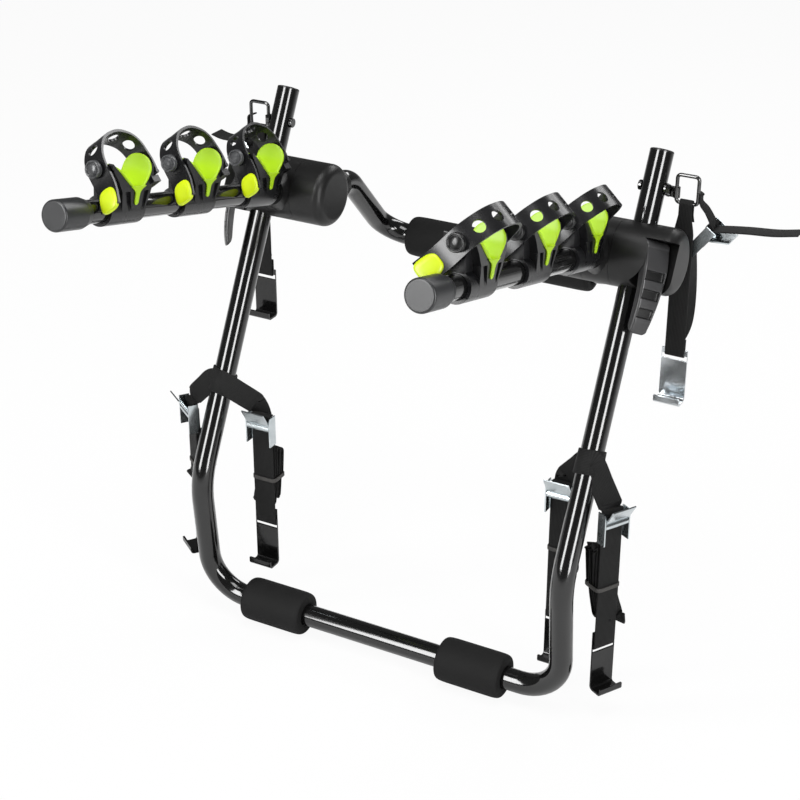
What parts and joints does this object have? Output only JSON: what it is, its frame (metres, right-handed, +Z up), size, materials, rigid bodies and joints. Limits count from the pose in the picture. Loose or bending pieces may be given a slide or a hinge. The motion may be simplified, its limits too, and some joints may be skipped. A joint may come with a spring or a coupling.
{
  "type": "trunk mounted bike rack",
  "caption": "Strap-on car rack: bent tube frame with foam pads, hinged upper frame, two folding arms with padded strap cradles, quick release levers and webbing straps with hooks.",
  "frame": {"origin": "middle of the bottom bar's axis, between the two lower pads", "axes": "+X along the bottom bar to the rack's right seen from behind the car, +Y towards the car, +Z up"},
  "size_m": [0.7851, 0.6525, 0.706],
  "materials": {
    "frame_paint": "gloss black paint on steel tube",
    "foam": "matt black foam",
    "hub_plastic": "fine matt grain",
    "lever_plastic": "dark grey, satin",
    "plug_plastic": "satin",
    "steel": "zinc plated",
    "black_steel": "black coated steel",
    "cradle_plastic": "satin",
    "liner_rubber": "soft lime green",
    "strap_rubber": "satin with a yellow grip tab",
    "webbing": "woven"
  },
  "bodies": {
    "main_frame": {"frame_half_left": "frame_paint", "frame_half_right": "frame_paint", "leg_top_plugs": "plug_plastic", "lower_pad_left": "foam", "lower_pad_right": "foam", "hub_clamp_left": "hub_plastic", "hub_clamp_right": "hub_plastic", "hub_pins": "steel", "strap_anchors": "steel", "anchor_rings": "steel", "side_strap_left": "webbing", "side_strap_right": "webbing", "lower_strap_left": "webbing", "lower_strap_right": "webbing", "top_strap_left": "webbing", "top_strap_right": "webbing", "strap_hooks": "steel", "buckle_frames": "steel", "strap_ties": "webbing"},
    "upper_frame": {"upper_frame_tube": "frame_paint", "upper_pad_left": "foam", "upper_pad_right": "foam", "upper_socket_left": "hub_plastic", "upper_socket_right": "hub_plastic"},
    "arm_right": {"arm_socket_right": "hub_plastic", "arm_tube_right": "frame_paint", "arm_cap_right": "plug_plastic"},
    "cradle_right_1": {"cradle_body_right_1": "cradle_plastic", "cradle_liner_right_1": "liner_rubber", "cradle_strap_right_1": "strap_rubber"},
    "cradle_right_2": {"cradle_body_right_2": "cradle_plastic", "cradle_liner_right_2": "liner_rubber", "cradle_strap_right_2": "strap_rubber"},
    "cradle_right_3": {"cradle_body_right_3": "cradle_plastic", "cradle_liner_right_3": "liner_rubber", "cradle_strap_right_3": "strap_rubber"},
    "clamp_lever_right": {"clamp_lever_right": "lever_plastic"},
    "arm_left": {"arm_socket_left": "hub_plastic", "arm_tube_left": "frame_paint", "arm_cap_left": "plug_plastic"},
    "cradle_left_1": {"cradle_body_left_1": "cradle_plastic", "cradle_liner_left_1": "liner_rubber", "cradle_strap_left_1": "strap_rubber"},
    "cradle_left_2": {"cradle_body_left_2": "cradle_plastic", "cradle_liner_left_2": "liner_rubber", "cradle_strap_left_2": "strap_rubber"},
    "cradle_left_3": {"cradle_body_left_3": "cradle_plastic", "cradle_liner_left_3": "liner_rubber", "cradle_strap_left_3": "strap_rubber"},
    "clamp_lever_left": {"clamp_lever_left": "lever_plastic"},
    "side_buckle_lever_left": {"side_buckle_lever_left": "black_steel"},
    "lower_buckle_lever_left": {"lower_buckle_lever_left": "black_steel"},
    "side_buckle_lever_right": {"side_buckle_lever_right": "black_steel"},
    "lower_buckle_lever_right": {"lower_buckle_lever_right": "black_steel"},
    "top_buckle_lever_right": {"top_buckle_lever_right": "black_steel"},
    "top_buckle_lever_left": {"top_buckle_lever_left": "black_steel"}
  },
  "joints": [
    {"name": "upper_frame_hinge", "type": "hinge", "parent": "main_frame", "child": "upper_frame", "pos_m": [0, 0.16312, 0.5078], "axis": [1, 0, 0], "range_deg": [-85, 40]},
    {"name": "arm_right_hinge", "type": "hinge", "parent": "main_frame", "child": "arm_right", "pos_m": [0.2116, 0.16312, 0.5078], "axis": [1, 0, 0], "range_deg": [-12, 68]},
    {"name": "cradle_right_1_swivel", "type": "hinge", "parent": "arm_right", "child": "cradle_right_1", "pos_m": [0.2116, -0.19154, 0.5982], "axis": [0, -0.969, 0.247], "range_deg": [-30, 30]},
    {"name": "cradle_right_2_swivel", "type": "hinge", "parent": "arm_right", "child": "cradle_right_2", "pos_m": [0.2116, -0.05976, 0.56461], "axis": [0, -0.969, 0.247], "range_deg": [-30, 30]},
    {"name": "cradle_right_3_swivel", "type": "hinge", "parent": "arm_right", "child": "cradle_right_3", "pos_m": [0.2116, 0.07203, 0.53102], "axis": [0, -0.969, 0.247], "range_deg": [-30, 30]},
    {"name": "clamp_lever_right_hinge", "type": "hinge", "parent": "main_frame", "child": "clamp_lever_right", "pos_m": [0.27316, 0.15222, 0.52471], "axis": [-0.6018, -0.709, 0.3675], "range_deg": [0, 65]},
    {"name": "arm_left_hinge", "type": "hinge", "parent": "main_frame", "child": "arm_left", "pos_m": [-0.2116, 0.16312, 0.5078], "axis": [1, 0, 0], "range_deg": [-12, 68]},
    {"name": "cradle_left_1_swivel", "type": "hinge", "parent": "arm_left", "child": "cradle_left_1", "pos_m": [-0.2116, -0.19154, 0.5982], "axis": [0, -0.969, 0.247], "range_deg": [-30, 30]},
    {"name": "cradle_left_2_swivel", "type": "hinge", "parent": "arm_left", "child": "cradle_left_2", "pos_m": [-0.2116, -0.05976, 0.56461], "axis": [0, -0.969, 0.247], "range_deg": [-30, 30]},
    {"name": "cradle_left_3_swivel", "type": "hinge", "parent": "arm_left", "child": "cradle_left_3", "pos_m": [-0.2116, 0.07203, 0.53102], "axis": [0, -0.969, 0.247], "range_deg": [-30, 30]},
    {"name": "clamp_lever_left_hinge", "type": "hinge", "parent": "main_frame", "child": "clamp_lever_left", "pos_m": [-0.27316, 0.15222, 0.52471], "axis": [-0.6018, 0.709, -0.3675], "range_deg": [0, 65]},
    {"name": "side_buckle_lever_left_hinge", "type": "hinge", "parent": "main_frame", "child": "side_buckle_lever_left", "pos_m": [-0.29247, 0.02323, 0.237], "axis": [-0.809, 0.5878, 0], "range_deg": [0, 24], "stiffness_Nm_per_rad": 0.3},
    {"name": "lower_buckle_lever_left_hinge", "type": "hinge", "parent": "main_frame", "child": "lower_buckle_lever_left", "pos_m": [-0.19, 0.0341, 0.236], "axis": [-1, 0, 0], "range_deg": [0, 24], "stiffness_Nm_per_rad": 0.3},
    {"name": "side_buckle_lever_right_hinge", "type": "hinge", "parent": "main_frame", "child": "side_buckle_lever_right", "pos_m": [0.29311, 0.03105, 0.235], "axis": [-0.5, -0.866, 0], "range_deg": [0, 24], "stiffness_Nm_per_rad": 0.3},
    {"name": "lower_buckle_lever_right_hinge", "type": "hinge", "parent": "main_frame", "child": "lower_buckle_lever_right", "pos_m": [0.214, 0.0561, 0.236], "axis": [-1, 0, 0], "range_deg": [0, 24], "stiffness_Nm_per_rad": 0.3},
    {"name": "top_buckle_lever_right_hinge", "type": "hinge", "parent": "main_frame", "child": "top_buckle_lever_right", "pos_m": [0.31062, 0.22581, 0.52136], "axis": [0, -1, 0], "range_deg": [0, 14], "stiffness_Nm_per_rad": 0.3},
    {"name": "top_buckle_lever_left_hinge", "type": "hinge", "parent": "main_frame", "child": "top_buckle_lever_left", "pos_m": [-0.31062, 0.22581, 0.52136], "axis": [0, 1, 0], "range_deg": [0, 14], "stiffness_Nm_per_rad": 0.3}
  ]
}
